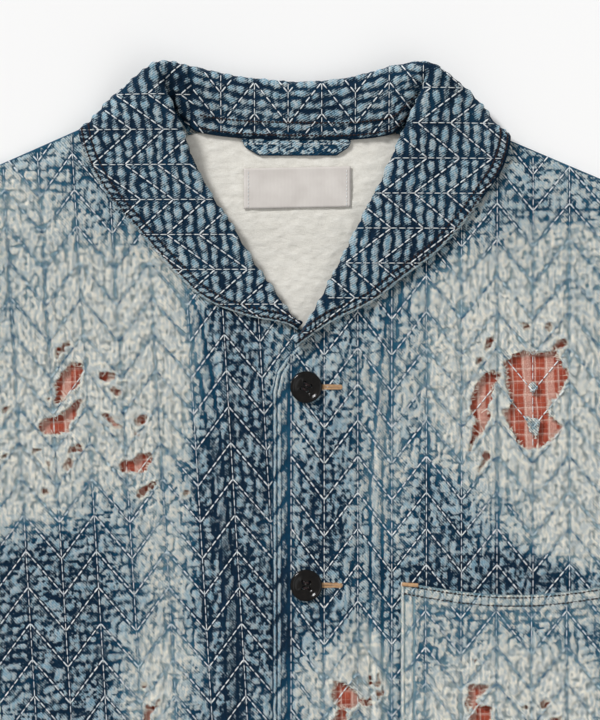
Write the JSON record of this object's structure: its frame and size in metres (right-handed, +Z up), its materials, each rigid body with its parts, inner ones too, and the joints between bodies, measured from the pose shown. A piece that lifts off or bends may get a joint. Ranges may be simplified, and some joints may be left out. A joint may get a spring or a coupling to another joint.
{
  "type": "patched boro jacket",
  "caption": "Patched and stitched denim work jacket with a shawl collar, buttoned and laid flat on its back, with a patch pocket and holes that show checked patches.",
  "frame": {"origin": "on the surface the jacket lies on, under the middle of its laid-out outline", "axes": "+Z up from that surface, +Y from hem to collar, +X towards the wearer's left"},
  "size_m": [1.286, 0.7482, 0.0294],
  "materials": {
    "denim": "indigo denim, dense running stitches, worn down to cream in places",
    "lining": "cream cotton, puckered by the stitching",
    "check": "brick red check cotton",
    "label": "plain woven label with no lettering",
    "button": "black, polished, four holes",
    "sashiko_thread": "white cotton thread",
    "topstitch_thread": "dark brown thread",
    "buttonhole_thread": "tan thread"
  },
  "bodies": {
    "root": {"back": "denim", "back_lining": "lining", "front_right": "denim", "front_left": "denim", "patch_chest_right": "check", "patch_waist_right": "check", "patch_chest_left": "check", "patch_front_edge": "check", "pocket": "denim", "patch_pocket": "check", "collar": "denim", "sleeve_right": "denim", "sleeve_left": "denim", "hanger_loop": "denim", "neck_label": "label", "button_1": "button", "button_2": "button", "button_3": "button", "button_4": "button"}
  },
  "joints": []
}
